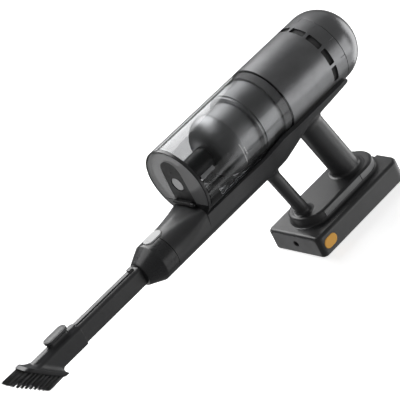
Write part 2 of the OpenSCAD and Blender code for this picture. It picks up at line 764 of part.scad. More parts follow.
spine_housing();
motor_housing();
rear_cap();
motor_bulkhead();
exhaust_filter();
motor_mounts();
motor_can();
stator_core();
stator_coils();
diffuser();
fan_cover();
shaft_bearings();
control_board();
power_button_spring();
handle_grip();
front_strut();
handle_foot();
foot_grip_strips();
battery_rail();
contact_blades();
power_lead();
housing_screws();
rotor_shaft();
rotor_magnet();
impeller();
power_button();
nozzle_button();
bin_shell();
bin_inlet();
inlet_flap();
cyclone_bell();
cyclone_mesh();
cyclone_core();
filter_frame();
hepa_filter();
bin_seal();
lid_hinge_pin();
lid_frame();
lid_window();
lid_strap();
lid_seal();
lid_button_spring();
lid_button();
lid_latch();
battery_case();
battery_end_cap();
battery_cells();
cell_straps();
battery_board();
charge_jack();
battery_button_springs();
battery_button_left();
battery_button_right();
tool_adapter();
crevice_tube();
brush_sleeve();
bristles();
brush_button();
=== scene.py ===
import math
import random

import bmesh
import bpy
from mathutils import Matrix, Vector
from mathutils.bvhtree import BVHTree


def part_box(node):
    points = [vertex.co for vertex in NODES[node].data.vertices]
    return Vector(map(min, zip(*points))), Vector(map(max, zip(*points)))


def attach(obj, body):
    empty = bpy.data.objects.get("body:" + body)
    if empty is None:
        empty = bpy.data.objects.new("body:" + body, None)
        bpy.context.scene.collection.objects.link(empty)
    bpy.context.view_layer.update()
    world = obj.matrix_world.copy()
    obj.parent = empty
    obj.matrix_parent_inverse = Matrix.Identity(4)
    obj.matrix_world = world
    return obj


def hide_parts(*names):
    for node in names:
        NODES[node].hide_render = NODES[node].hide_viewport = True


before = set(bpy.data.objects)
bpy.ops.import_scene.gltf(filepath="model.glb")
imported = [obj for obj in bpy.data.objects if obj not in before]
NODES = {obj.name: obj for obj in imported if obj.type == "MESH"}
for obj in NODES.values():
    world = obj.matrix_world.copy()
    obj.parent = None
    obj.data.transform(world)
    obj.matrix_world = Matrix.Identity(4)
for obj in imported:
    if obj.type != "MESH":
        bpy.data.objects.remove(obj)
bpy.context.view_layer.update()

random.seed(7)
MM = 0.001


# ---------------------------------------------------------------- frame measures
def low(node):
    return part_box(node)[0]


def high(node):
    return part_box(node)[1]


def half_height(node):
    """Half a node's height in millimetres: the radius of a round part."""
    return (high(node).z - low(node).z) / 2 / MM


FRONT_X = low("lid_frame").x
AXIS_Z = (low("motor_housing").z + high("motor_housing").z) / 2
BARREL_R = half_height("motor_housing")

# Shapes are drawn in millimetres, either in the barrel's frame (origin at the centre of
# the bin's front face) or in the part's own frame
BARREL = Matrix.Translation((FRONT_X, 0, AXIS_Z)) @ Matrix.Scale(MM, 4)
PART = Matrix.Scale(MM, 4)


def along(node):
    """A node's first and last x in the barrel's frame."""
    return (low(node).x - FRONT_X) / MM, (high(node).x - FRONT_X) / MM


def levels(node):
    """A node's lowest and highest z in the barrel's frame."""
    return low(node).z / MM - AXIS_Z / MM, high(node).z / MM - AXIS_Z / MM


BIN_X0, BIN_X1 = along("bin_shell")
LID_X1 = along("lid_frame")[1]
HOUSE_X0, HOUSE_X1 = along("motor_housing")
BUTTON_HOLE_R = 9.06
DOME_LEN = 41.0
DOME_X = along("rear_cap")[1] - DOME_LEN * math.sin(math.acos(BUTTON_HOLE_R / BARREL_R))
ADAPTER_X1 = along("tool_adapter")[1]
CREVICE_X0, CREVICE_X1 = along("crevice_tube")
SPINE_X0, SPINE_X1 = along("spine_housing")
HINGE = (low("lid_hinge_pin") + high("lid_hinge_pin")) / 2
HINGE_Z = HINGE.z / MM - AXIS_Z / MM
HINGE_X = (HINGE.x - FRONT_X) / MM
WALL = 2.4
DUCT_Z = -50.0
DUCT_R = half_height("tool_adapter")
BORE_R = 20.0
COLLAR_X = SPINE_X0 - 0.3
CONE_X = COLLAR_X - 19.1
SADDLE_R = BARREL_R + 0.3
FOOT_Z0 = low("handle_foot").z / MM
FOOT_TOP_Z = 40.0
LEAN = math.radians(14.5)
GRIP_TOP = Vector((14.7, 0, 108.7))
STRUT_TOP = Vector((-61.7, 0, 99.0))
GRIP_D, STRUT_D = 34.0, 16.0
# The nozzle's release button: its centre, and the pocket that it sits in
NOZZLE_KEY_X = -58
KEY_POCKET_L, KEY_POCKET_W = 25.2, 14.7
# The housing's vents: size along and around the barrel, place behind the housing's front
VENT_L, VENT_W, VENT_X, VENT_PITCH, VENTS = 7.8, 19.6, 76.1, 30, 8
# The bristles: longest filament, filaments in a tuft and how far they stand from its middle
BRISTLE_LEN, FILAMENTS, TUFT_R = 25.0, 64, 0.95
# The camera, fitted to points marked on the photo: degrees, metres, and its target from
# the barrel's front centre
CAM_AZIMUTH, CAM_ELEVATION, CAM_ROLL = 30.873, 29.282, 27.872
CAM_DISTANCE, CAM_LENS = 2.2811, 188.21
CAM_AIM_X, CAM_AIM_Z = 0.01696, 0.03457


# ---------------------------------------------------------------- mesh helpers
def linear(keys, x):
    """Straight-line value at x through (x, value) keys."""
    if x <= keys[0][0]:
        return keys[0][1]
    for (x0, v0), (x1, v1) in zip(keys, keys[1:]):
        if x <= x1:
            return v0 + (v1 - v0) * (x - x0) / (x1 - x0)
    return keys[-1][1]


def make(name, bm, place=BARREL):
    """Turns a bmesh drawn in millimetres into an object in metres."""
    bmesh.ops.remove_doubles(bm, verts=bm.verts, dist=1e-5)
    bmesh.ops.recalc_face_normals(bm, faces=bm.faces)
    bm.transform(place)
    mesh = bpy.data.meshes.new(name)
    bm.to_mesh(mesh)
    bm.free()
    mesh.polygons.foreach_set("use_smooth", [True] * len(mesh.polygons))
    obj = bpy.data.objects.new(name, mesh)
    bpy.context.scene.collection.objects.link(obj)
    return obj


def settle(obj):
    """Applies an object's modifiers to its mesh."""
    graph = bpy.context.evaluated_depsgraph_get()
    mesh = bpy.data.meshes.new_from_object(obj.evaluated_get(graph))
    obj.modifiers.clear()
    obj.data = mesh


def carve(obj, *cutters, mode="DIFFERENCE"):
    """Cuts the cutters out of the object, or joins them to it, and removes them."""
    for cutter in cutters:
        mod = obj.modifiers.new("carve", "BOOLEAN")
        mod.operation = mode
        mod.solver = "EXACT"
        mod.object = cutter
        settle(obj)
        bpy.data.objects.remove(cutter)
    return obj


def soften(obj, width, segments=3, angle=32):
    """Rounds an object's sharp edges and keeps its flat faces flat."""
    bevel = obj.modifiers.new("bevel", "BEVEL")
    bevel.width = width * MM
    bevel.segments = segments
    bevel.limit_method = "ANGLE"
    bevel.angle_limit = math.radians(angle)
    bevel.harden_normals = False
    bevel.miter_outer = "MITER_ARC"
    normals = obj.modifiers.new("normals", "WEIGHTED_NORMAL")
    normals.keep_sharp = True
    normals.weight = 60
    return obj


def place(obj, body, slot, material, *replaced):
    """Gives a piece its material and body, and hides the CAD nodes it stands for. Its slot is not used."""
    obj.data.materials.clear()
    obj.data.materials.append(material)
    for polygon in obj.data.polygons:
        polygon.use_smooth = True
    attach(obj, body)
    if replaced:
        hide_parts(*replaced)
    return obj


def ring_faces(bm, a, b, closed=True):
    count = len(a) if closed else len(a) - 1
    for i in range(count):
        j = (i + 1) % len(a)
        corners = [a[i], a[j], b[j], b[i]]
        unique = list(dict.fromkeys(corners))
        if len(unique) > 2:
            bm.faces.new(unique)


def loft(rings, caps=(True, True), closed=True, joined=False, into=None):
    """Skin through rings of points, on its own or added to a bmesh. joined closes it onto itself."""
    bm = bmesh.new() if into is None else into
    rows = [[bm.verts.new(p) for p in ring] for ring in rings]
    for a, b in zip(rows, rows[1:]):
        ring_faces(bm, a, b, closed)
    if joined:
        ring_faces(bm, rows[-1], rows[0], closed)
    else:
        if caps[0]:
            bm.faces.new(rows[0])
        if caps[1]:
            bm.faces.new(list(reversed(rows[-1])))
    return bm


def full_turn(steps):
    return [2 * math.pi * i / steps for i in range(steps)]


def turned(profile, centre_z=0.0, steps=144, closed=True):
    """Turns (x, r) points about the barrel's axis, or about a lower axis."""
    bm = bmesh.new()
    rows = []
    for x, r in profile:
        if r < 1e-6:
            rows.append([bm.verts.new((x, 0, centre_z))] * steps)
        else:
            rows.append([bm.verts.new((x, r * math.sin(a), centre_z + r * math.cos(a)))
                         for a in full_turn(steps)])
    for a, b in zip(rows, rows[1:]):
        ring_faces(bm, a, b)
    if closed:
        ring_faces(bm, rows[-1], rows[0])
    return bm


def outline_rounded(width, height, radius, steps=8):
    """Rounded rectangle as (y, z) points, anticlockwise from the lower right corner."""
    points = []
    for cy, cz, start in ((1, -1, -90), (1, 1, 0), (-1, 1, 90), (-1, -1, 180)):
        for i in range(steps + 1):
            a = math.radians(start + 90 * i / steps)
            points.append((cy * (width / 2 - radius) + radius * math.cos(a),
                           cz * (height / 2 - radius) + radius * math.sin(a)))
    return points


def outline_pill(length, width, steps=20):
    """Round-ended slot as (x, y) points."""
    half = length / 2 - width / 2
    points = []
    for side, start in ((1, -90), (-1, 90)):
        for i in range(steps + 1):
            a = math.radians(start + 180 * i / steps)
            points.append((side * half + width / 2 * math.cos(a), width / 2 * math.sin(a)))
    return points


def slab(outline, axis, low_at, high_at):
    """Extrudes an outline along an axis. The outline's pairs fill the other two axes in order."""
    def point(p, at):
        coords = list(p)
        coords.insert(axis, at)
        return tuple(coords)
    return loft([[point(p, low_at) for p in outline], [point(p, high_at) for p in outline]])


def box_mesh(a, b):
    return slab([(a[0], a[1]), (b[0], a[1]), (b[0], b[1]), (a[0], b[1])], 2, a[2], b[2])


def cut_below(bm, z):
    """Slices away everything below z, and closes the cut."""
    geometry = bm.verts[:] + bm.edges[:] + bm.faces[:]
    bmesh.ops.bisect_plane(bm, geom=geometry, plane_co=(0, 0, z), plane_no=(0, 0, -1), clear_outer=True)
    bmesh.ops.holes_fill(bm, edges=[e for e in bm.edges if e.is_boundary])
    return bm


def convex_outline(points):
    """Convex hull of 2D points, anticlockwise."""
    points = sorted(set((round(y, 6), round(z, 6)) for y, z in points))

    def half(seq):
        out = []
        for p in seq:
            while len(out) > 1 and ((out[-1][0] - out[-2][0]) * (p[1] - out[-2][1])
                                    - (out[-1][1] - out[-2][1]) * (p[0] - out[-2][0])) <= 0:
                out.pop()
            out.append(p)
        return out[:-1]
    return half(points) + half(reversed(points))


def circle_points(y, z, r, steps=72):
    return [(y + r * math.cos(a), z + r * math.sin(a)) for a in full_turn(steps)]


def resample(points, count):
    """Evenly spaced points along an open 2D line."""
    lengths = [0.0]
    for a, b in zip(points, points[1:]):
        lengths.append(lengths[-1] + math.dist(a, b))
    out, k = [], 0
    for i in range(count):
        target = lengths[-1] * i / (count - 1)
        while k < len(lengths) - 2 and lengths[k + 1] < target:
            k += 1
        step = lengths[k + 1] - lengths[k]
        t = 0 if step == 0 else (target - lengths[k]) / step
        a, b = points[k], points[k + 1]
        out.append((a[0] + (b[0] - a[0]) * t, a[1] + (b[1] - a[1]) * t))
    return out


# ---------------------------------------------------------------- materials
def shader(name):
    material = bpy.data.materials.new(name)
    material.use_nodes = True
    material.node_tree.nodes.clear()
    return material, material.node_tree


def add(tree, kind, inputs):
    """Adds a shader node. Another node's output is linked to its input, and a value is set."""
    node = tree.nodes.new("ShaderNode" + kind)
    for key, value in inputs.items():
        if isinstance(value, bpy.types.NodeSocket):
            tree.links.new(value, node.inputs[key])
        else:
            node.inputs[key].default_value = value
    return node


def close(tree, surface):
    """Makes a shader node the material's surface."""
    add(tree, "OutputMaterial", {"Surface": surface.outputs[0]})


def scaled(color, factor):
    return tuple(min(1, c * factor) for c in color)


def noise(tree, scale, detail=4.0, rough=0.55, stretch=None):
    """Noise in object space, in cycles per metre."""
    spot = add(tree, "TexCoord", {}).outputs["Object"]
    if stretch:
        spot = add(tree, "Mapping", {"Scale": stretch, "Vector": spot}).outputs["Vector"]
    texture = add(tree, "TexNoise", {"Scale": scale, "Detail": detail, "Roughness": rough, "Vector": spot})
    return texture.outputs["Fac"]


def spread(tree, source, low_out, high_out):
    """Maps a noise's middle range onto two values."""
    node = add(tree, "MapRange", {"From Min": 0.35, "From Max": 0.65, "To Min": low_out,
                                  "To Max": high_out, "Value": source})
    return node.outputs["Result"]


def ramp(tree, source, start, first, end, last):
    """Blends between two colours over part of a factor's range."""
    node = add(tree, "ValToRGB", {"Fac": source})
    for element, at, color in zip(node.color_ramp.elements, (start, end), (first, last)):
        element.position = at
        element.color = (*color, 1)
    return node.outputs["Color"]


def tint(tree, source, dark, light):
    """Blends between two colours by a noise."""
    return ramp(tree, source, 0.3, dark, 0.7, light)


def bump(tree, height, strength, distance, normal=None):
    inputs = {"Strength": strength, "Distance": distance, "Height": height}
    if normal is not None:
        inputs["Normal"] = normal
    return add(tree, "Bump", inputs).outputs["Normal"]


def moulded(name, color, rough=0.42, grain=0.25, spec=0.5, coat=0.0, vary=0.12, metallic=0.0, uneven=1.0):
    """Moulded plastic: spark-eroded grain, faint cloudy colour and uneven gloss."""
    material, tree = shader(name)
    cloud = noise(tree, 35, 3)
    smears = noise(tree, 90, 5, 0.65)
    swell = bump(tree, noise(tree, 60, 2), 0.04 * uneven, 0.0006)
    close(tree, add(tree, "BsdfPrincipled", {
        "Base Color": tint(tree, cloud, scaled(color, 1 - vary), scaled(color, 1 + vary)),
        "Roughness": spread(tree, smears, rough - 0.05 * uneven, rough + 0.06 * uneven),
        "Normal": bump(tree, noise(tree, 2600, 2), grain, 0.00006, swell),
        "Metallic": metallic, "Specular IOR Level": spec, "Coat Weight": coat, "Coat Roughness": 0.18}))
    return material


def clear(name, face_tint, edge_tint, rough=0.08, ior=1.46):
    """Clear plastic wall: tinted see-through, darker where it is seen edge on, with a polished skin."""
    material, tree = shader(name)
    facing = add(tree, "LayerWeight", {"Blend": 0.5}).outputs["Facing"]
    through = add(tree, "BsdfTransparent", {"Color": ramp(tree, facing, 0.72, face_tint, 0.98, edge_tint)})
    ripple = bump(tree, noise(tree, 45, 2), 0.02, 0.0008)
    gloss = add(tree, "BsdfGlossy", {"Color": (0.95, 0.96, 0.97, 1), "Roughness": rough, "Normal": ripple})
    fresnel = add(tree, "Fresnel", {"IOR": ior, "Normal": ripple})
    # The skin shines on the wall's outer side only
    inside = add(tree, "NewGeometry", {}).outputs["Backfacing"]
    skin = add(tree, "Math", {0: fresnel.outputs["Fac"], 1: inside})
    skin.operation = "SUBTRACT"
    skin.use_clamp = True
    close(tree, add(tree, "MixShader", {"Fac": skin.outputs["Value"], 1: through.outputs["BSDF"],
                                        2: gloss.outputs["BSDF"]}))
    return material


def smoked(name, color, through):
    """Smoked plastic: a milky grey body under a polished skin, which lets a share of the light through."""
    material, tree = shader(name)
    body = add(tree, "BsdfPrincipled", {
        "Base Color": tint(tree, noise(tree, 40, 3), color, scaled(color, 1.06)), "Roughness": 0.2,
        "Normal": bump(tree, noise(tree, 50, 2), 0.03, 0.0006)})
    open_part = add(tree, "BsdfTransparent", {})
    close(tree, add(tree, "MixShader", {"Fac": 1 - through, 1: open_part.outputs["BSDF"],
                                        2: body.outputs["BSDF"]}))
    return material


def metal(name, color, rough=0.3, brushed=(1, 1, 1), scale=900, marks=0.15):
    """Metal with fine working marks. marks says how deep they are."""
    material, tree = shader(name)
    lines = noise(tree, scale, 3, 0.6, brushed)
    close(tree, add(tree, "BsdfPrincipled", {
        "Metallic": 1.0, "Base Color": tint(tree, lines, scaled(color, 1 - marks), color),
        "Roughness": spread(tree, lines, rough - marks * 0.4, rough + marks * 0.6),
        "Normal": bump(tree, lines, marks, 0.00005)}))
    return material


def fibrous(name, color, rough=0.9, scale=700, depth=0.0004):
    """Paper, foam or rubber: a broken, matt surface."""
    material, tree = shader(name)
    fibres = noise(tree, scale, 6, 0.7)
    close(tree, add(tree, "BsdfPrincipled", {
        "Base Color": tint(tree, fibres, scaled(color, 0.72), color),
        "Roughness": spread(tree, fibres, rough - 0.08, min(1.0, rough + 0.05)),
        "Normal": bump(tree, fibres, 0.5, depth), "Sheen Weight": 0.15, "Sheen Roughness": 0.6}))
    return material


def hair(name, color):
    """Nylon bristle: dark filament, its tone varying from one filament to the next."""
    material, tree = shader(name)
    tone = noise(tree, 1500, 2, 0.5, (0.05, 1, 1))
    close(tree, add(tree, "BsdfPrincipled", {
        "Base Color": tint(tree, tone, scaled(color, 0.5), scaled(color, 2.2)), "Roughness": 0.42,
        "Specular IOR Level": 0.5}))
    return material


HOUSING = moulded("housing_satin", (0.20, 0.202, 0.207), 0.34, metallic=0.8, uneven=0.5)
SPINE = moulded("spine_satin", (0.042, 0.0425, 0.044), 0.34)
STRAP = moulded("strap_satin", (0.014, 0.0142, 0.015), 0.5, spec=0.35)
CAP = moulded("cap_gloss", (0.21, 0.212, 0.217), 0.30, grain=0.0, vary=0.02, metallic=0.8, uneven=0.1)
DARK = moulded("dark_satin", (0.014, 0.0142, 0.015), 0.34, grain=0.15)
INNER = moulded("inner_grey", (0.10, 0.10, 0.105), 0.5)
# The foot strips' own lighter grey is made lighter still as painted light: it stands in for the light that a
# steeper sloping wall would catch from above.
STRIP_GREY_AND_PAINTED_LIGHT = moulded("strip_grey_and_painted_light", (0.34, 0.342, 0.346), 0.46, vary=0.06)
KEY = moulded("key_grey", (0.075, 0.076, 0.078), 0.30, spec=0.35, vary=0.06)
BUTTON = moulded("button_grey", (0.60, 0.603, 0.606), 0.45, spec=0.2, vary=0.04)
LID_KEY = moulded("lid_key_grey", (0.86, 0.865, 0.87), 0.42, vary=0.03)
ORANGE = moulded("button_orange", (1.0, 0.50, 0.085), 0.5, spec=0.3, vary=0.04)
CLEAR = clear("clear_smoke", (0.73, 0.732, 0.735), (0.10, 0.102, 0.105), ior=1.42)
LID = smoked("clear_lid", (0.24, 0.242, 0.246), 0.30)
RIM = moulded("lid_rim_smoke", (0.030, 0.0305, 0.032), 0.22, grain=0.05)
BRISTLE = hair("bristle_black", (0.10, 0.10, 0.102))
RUBBER = fibrous("rubber_black", (0.018, 0.018, 0.018), 0.7, 500, 0.0001)
PAPER = fibrous("filter_paper", (0.72, 0.71, 0.66), 0.95, 900, 0.0003)
FOAM = fibrous("foam_dark", (0.035, 0.035, 0.036), 0.95, 600, 0.001)
MESH = metal("mesh_steel", (0.72, 0.724, 0.73), 0.46, marks=0.05)
SEAL = fibrous("seal_grey", (0.42, 0.421, 0.423), 0.6, 500, 0.0001)
CYCLONE = metal("cyclone_steel", (0.62, 0.624, 0.63), 0.40, (0.2, 1, 1), 300, marks=0.03)
STEEL = metal("steel_bright", (0.62, 0.62, 0.63), 0.25)
ALUMINIUM = metal("aluminium_turned", (0.60, 0.61, 0.63), 0.32, (6, 1, 1), 400)
COPPER = metal("copper_wire", (0.72, 0.36, 0.17), 0.3, (0.3, 4, 4), 900)
CONTACT = metal("contact_plated", (0.80, 0.62, 0.30), 0.22)
MAGNET = metal("magnet_ground", (0.25, 0.26, 0.27), 0.35)
BOARD = moulded("circuit_board", (0.02, 0.10, 0.05), 0.35, vary=0.3)
CELL = moulded("cell_wrap", (0.05, 0.16, 0.30), 0.3, grain=0.05)
WIRE = moulded("wire_red", (0.40, 0.03, 0.02), 0.45)
FROST = moulded("rib_frost", (0.16, 0.163, 0.167), 0.4)
PRINT = moulded("print_white", (0.72, 0.72, 0.72), 0.5, grain=0.0)
END = moulded("end_grey", (0.105, 0.106, 0.110), 0.42)
ADAPTER = moulded("adapter_satin", (0.026, 0.0265, 0.028), 0.28, grain=0.1, coat=0.2)
BRUSH = moulded("brush_satin", (0.036, 0.037, 0.039), 0.34, grain=0.12)


# ---------------------------------------------------------------- barrel
def bin_shell():
    inner = BARREL_R - WALL
    profile = [(BIN_X0, BARREL_R), (BIN_X1, BARREL_R), (BIN_X1, inner), (BIN_X0, inner)]
    obj = make("bin_wall", turned(profile))
    soften(obj, 0.5, 3)
    place(obj, "dust_bin", "clear_smoke", CLEAR, "bin_shell")
    rib = on_wall("bin_rib", 5.5, 25.5, 15.7, 4.6, 0.5)
    place(rib, "dust_bin", "clear_smoke", FROST)
    mark = on_wall("fill_line", 66.2, 66.9, -2.0, 25.0, 0.04)
    place(mark, "dust_bin", "clear_smoke", PRINT)
    for i in range(3):
        tick = on_wall("fill_tick_%d" % i, 69.5, 70.9, 4.0 - 4.4 * i, 2.4, 0.04)
        place(tick, "dust_bin", "clear_smoke", PRINT)


def on_wall(name, x0, x1, angle, width, proud):
    """A pad lying on the barrel's near side: angle up from the -Y side, width around it."""
    half = math.degrees(width / 2 / BARREL_R)
    rows = []
    for x in (x0, x1):
        for r in (BARREL_R - 0.02, BARREL_R + proud):
            turns = [math.radians(angle - half + 2 * half * i / 12) for i in range(13)]
            rows.append([(x, -r * math.cos(a), r * math.sin(a)) for a in turns])
    order = [rows[0], rows[1], rows[3], rows[2]]
    bm = loft(order, closed=False, joined=True, caps=(False, False))
    bmesh.ops.holes_fill(bm, edges=[e for e in bm.edges if e.is_boundary])
    return soften(make(name, bm), min(0.25, proud * 0.45), 2)


def motor_housing():
    inner = BARREL_R - WALL
    profile = [(HOUSE_X0, BARREL_R), (HOUSE_X1 - 0.15, BARREL_R), (HOUSE_X1 - 0.15, inner), (HOUSE_X0, inner)]
    obj = make("motor_shell", turned(profile, steps=240))
    cutters = bmesh.new()
    for k in range(VENTS):
        turn = Matrix.Rotation(math.radians((k - 3.5) * VENT_PITCH), 4, "X")
        slot = slab(outline_rounded(VENT_L, VENT_W, 1.0, 4), 2, BARREL_R - 6, BARREL_R + 4)
        slot.transform(turn @ Matrix.Translation((HOUSE_X0 + VENT_X, 0, 0)))
        part = bpy.data.meshes.new("slot")
        slot.to_mesh(part)
        slot.free()
        cutters.from_mesh(part)
    carve(obj, make("slots", cutters))
    for k in range(VENTS - 1):
        groove = box_mesh((HOUSE_X1 - 7, -0.35, BARREL_R - 0.5), (HOUSE_X1 + 1, 0.35, BARREL_R + 1))
        groove.transform(Matrix.Rotation(math.radians((k - 3) * VENT_PITCH), 4, "X"))
        carve(obj, make("groove", groove))
    soften(obj, 0.35, 3)
    place(obj, "body", "housing_plastic", HOUSING, "motor_housing")


def rear_cap():
    def dome(radius, length, last, steps):
        turns = [last * i / steps for i in range(steps + 1)]
        return [(DOME_X + length * math.sin(a), radius * math.cos(a)) for a in turns]
    tip = DOME_X + DOME_LEN
    inner_r = BARREL_R - WALL
    outer = dome(BARREL_R, DOME_LEN, math.acos(BUTTON_HOLE_R / BARREL_R), 28)
    inner = dome(inner_r, DOME_LEN - WALL, math.acos(11.4 / inner_r), 14)
    profile = [(HOUSE_X1 + 0.35, BARREL_R)] + outer + [(tip - 9, BUTTON_HOLE_R), (tip - 9, 11)]
    profile += list(reversed(inner)) + [(HOUSE_X1 + 0.35, inner_r - 0.1)]
    obj = make("dome_cap", turned(profile, steps=192))
    soften(obj, 0.3, 3, 50)
    place(obj, "body", "cap_plastic", CAP, "rear_cap")


def power_button():
    x0, face = along("power_button")
    profile = [(x0, 0), (x0, 2), (face - 10.1, 2), (face - 10.1, 10.8), (face - 8.0, 10.8), (face - 8.0, 9.0),
               (face - 0.5, 9.0), (face - 0.12, 8.85), (face, 8.45), (face - 0.25, 6.0), (face - 0.45, 3.0),
               (face - 0.5, 0)]
    obj = make("power_key", turned(profile, steps=96, closed=False))
    soften(obj, 0.1, 2, 60)
    place(obj, "power_button", "button_grey", BUTTON, "power_button")


# ---------------------------------------------------------------- lid
CHORD = HINGE_Z + 0.25


def strap_outline(grow=0.0):
    """The lid's strap from the front: a round top on a bar that widens down to the hinge."""
    r = 15.5
    centre = levels("lid_strap")[1] - r
    turns = [math.pi * i / 40 for i in range(41)]
    points = [((r + grow) * math.cos(a), centre + (r + grow) * math.sin(a)) for a in turns]
    return points + [(-r - 1.5 - grow, CHORD), (r + 1.5 + grow, CHORD)]


def lid():
    """Smoked lid: a flat face let into a dark rolled rim, cut off level above its hinge."""
    rim = [(LID_X1, 43.2), (LID_X1, BARREL_R - 0.4), (LID_X1 - 0.4, BARREL_R), (0.9, BARREL_R),
           (0.25, BARREL_R - 0.3), (0.0, BARREL_R - 0.9), (0.2, BARREL_R - 1.5), (0.8, 43.2)]
    ring = make("lid_rim", cut_below(turned(rim, steps=192), CHORD))
    soften(ring, 0.15, 2)
    place(ring, "bin_lid", "clear_lid", RIM, "lid_frame")
    face = [(3.2, 0), (3.2, 43.1), (0.9, 43.1), (0.55, 42.7), (0.5, 12), (0.5, 0)]
    obj = make("lid_clear", cut_below(turned(face, steps=192, closed=False), CHORD))
    opening = [(y, z - (4 if z <= CHORD else 0)) for y, z in strap_outline(0.25)]
    carve(obj, make("strap_cut", slab(opening, 0, -2, 8)))
    soften(obj, 0.2, 2)
    place(obj, "bin_lid", "clear_lid", LID, "lid_window")


def lid_strap():
    top = levels("lid_strap")[1]
    hole = half_height("lid_button") + 0.45
    along_pin = (BARREL @ Matrix.Translation((HINGE_X, 0, HINGE_Z))
                 @ Matrix.Rotation(math.radians(90), 4, "Z"))
    obj = make("strap_plate", slab(strap_outline(), 0, 0.6, 3.9))
    knuckle = [(-11.2, 0), (-11.2, 2.4), (11.2, 2.4), (11.2, 0)]
    barrel = make("knuckle", turned(knuckle, steps=48, closed=False), along_pin)
    web = make("web", box_mesh((HINGE_X, -11.2, HINGE_Z + 0.25), (2.0, 11.2, HINGE_Z + 2.4)))
    collar = make("collar", turned([(1.5, hole), (1.5, 9.8), (11.2, 9.8), (11.2, hole)], steps=64))
    carve(obj, web, barrel, collar, mode="UNION")
    carve(obj, make("well", turned([(-9, 0), (-9, hole), (19, hole), (19, 0)], steps=96, closed=False)),
          make("pilot", turned([(0, 0), (0, 0.9), (1.0, 0.9), (1.0, 0)], centre_z=top - 14.5, steps=24,
                               closed=False)),
          make("bore", turned([(-20, 0), (-20, 1.02), (20, 1.02), (20, 0)], steps=24, closed=False),
               along_pin))
    soften(obj, 0.4, 3)
    place(obj, "bin_lid", "housing_plastic", STRAP, "lid_strap")


def lid_button():
    x0, x1 = along("lid_button")
    r = half_height("lid_button")
    profile = [(x1, 0), (x1, 4), (x0 + 4.5, 4), (x0 + 4.5, r), (x0 + 0.5, r), (x0 + 0.15, r - 0.2),
               (x0, r - 0.6), (x0 + 0.08, r - 1.3), (x0 + 0.3, r * 0.5), (x0 + 0.35, 0)]
    obj = make("lid_key", turned(profile, steps=96, closed=False))
    soften(obj, 0.08, 2, 50)
    place(obj, "lid_button", "button_grey", LID_KEY, "lid_button")


# ---------------------------------------------------------------- cyclone
def cyclone():
    bell_x0, bell_x1 = along("cyclone_bell")
    core = 13.0
    big = half_height("cyclone_bell")

    def bell(offset):
        points = []
        for i in range(33):
            a = math.radians(90 * i / 32)
            points.append((bell_x0 + (bell_x1 - bell_x0) * (1 - math.cos(a)) + offset * 0.4,
                           core + (big - core) * math.sin(a) - offset))
        return points
    obj = make("bell", turned(bell(0) + [(bell_x1 + 0.6, big - 0.4)] + list(reversed(bell(1.8)))))
    soften(obj, 0.3, 2, 50)
    place(obj, "dust_bin", "dark_plastic", CYCLONE, "cyclone_bell")

    mesh_x0, mesh_x1 = along("cyclone_mesh")
    radius = half_height("cyclone_mesh")
    grid = bmesh.new()
    around, rows = 132, 17
    lines = []
    for j in range(rows + 1):
        x = mesh_x0 + (mesh_x1 - mesh_x0) * j / rows
        lines.append([grid.verts.new((x, radius * math.sin(a), radius * math.cos(a)))
                      for a in full_turn(around)])
    for a, b in zip(lines, lines[1:]):
        ring_faces(grid, a, b)
    bmesh.ops.inset_individual(grid, faces=grid.faces[:], thickness=0.36, depth=-0.22)
    obj = make("screen", grid)
    thick = obj.modifiers.new("thick", "SOLIDIFY")
    thick.thickness = 0.6 * MM
    thick.offset = -1
    settle(obj)
    place(obj, "dust_bin", "mesh_steel", MESH, "cyclone_mesh")


# ---------------------------------------------------------------- saddle and duct
KEEL_R = [(100, 23.6), (128.7, 32.0), (150, 36.0), (170.5, 40.0), (215, 44.0), (243, 46.4)]
KEEL_Z = [(100, -50.0), (128.7, -38.8), (150, -28.2), (170.5, -17.5), (215, -9.5), (243, -4.3)]
EDGE_ANGLE = [(55, -53.0), (92, -47.0), (110, -38.0), (124, -33.0), (150, -34.0), (231, -35.4), (236, -37.4),
              (239.5, -41.5), (241.6, -48.0), (242.8, -58.0), (243.4, -72.0)]
EDGE_T = [(0, 1.6), (60, 2.0), (110, 4.0), (150, 5.0), (225, 4.4), (243, 3.0)]
FLARE_Y = 20.5
FLARE_Z = -37.0
FLARE_R = 6.8


def spine_section(x, count=61):
    """Underside of the saddle at x, from its left edge down and up to its right edge."""
    keel = circle_points(0, linear(KEEL_Z, x), linear(KEEL_R, x), 144)
    a = math.radians(linear(EDGE_ANGLE, x))
    r = SADDLE_R + linear(EDGE_T, x)
    tip = (r * math.cos(a), r * math.sin(a))
    lip = 0.8
    inner = (tip[0] - lip * math.cos(a), tip[1] - lip * math.sin(a))
    corners = circle_points(inner[0], inner[1], lip, 36) + circle_points(-inner[0], inner[1], lip, 36)
    hull = convex_outline(keel + corners)
    start = min(range(len(hull)), key=lambda i: math.dist(hull[i], (-tip[0], tip[1])))
    hull = hull[start:] + hull[:start]
    end = min(range(len(hull)), key=lambda i: math.dist(hull[i], tip))
    return resample(hull[:end + 1], count)


def flare_section(x, count=120):
    """Full outline of the duct ahead of the bin at x, from the top round past the left side."""
    grow = ((x + 50) / 50) ** 1.7 if x > -50 else 0.0
    side = FLARE_Y * grow
    circle = circle_points(0, DUCT_Z, DUCT_R, 144)
    wings = []
    if grow > 0:
        r = DUCT_R + (FLARE_R - DUCT_R) * grow
        z = DUCT_Z + (FLARE_Z - DUCT_Z) * grow
        wings = circle_points(side, z, r, 96) + circle_points(-side, z, r, 96)
    hull = convex_outline(circle + wings)
    start = max(range(len(hull)), key=lambda i: hull[i][1] - abs(hull[i][0]) * 1e-3)
    ring = hull[start:] + hull[:start]
    ring.append(ring[0])
    return resample(ring, count + 1)[:-1]


def key_pocket():
    """Cutter for the room that the nozzle's release button has in the top of the duct."""
    pocket = slab(outline_pill(KEY_POCKET_L, KEY_POCKET_W), 2, DUCT_Z + BORE_R + 1.0, DUCT_Z + 40)
    pocket.transform(Matrix.Translation((NOZZLE_KEY_X, 0, 0)))
    return make("pocket", pocket)


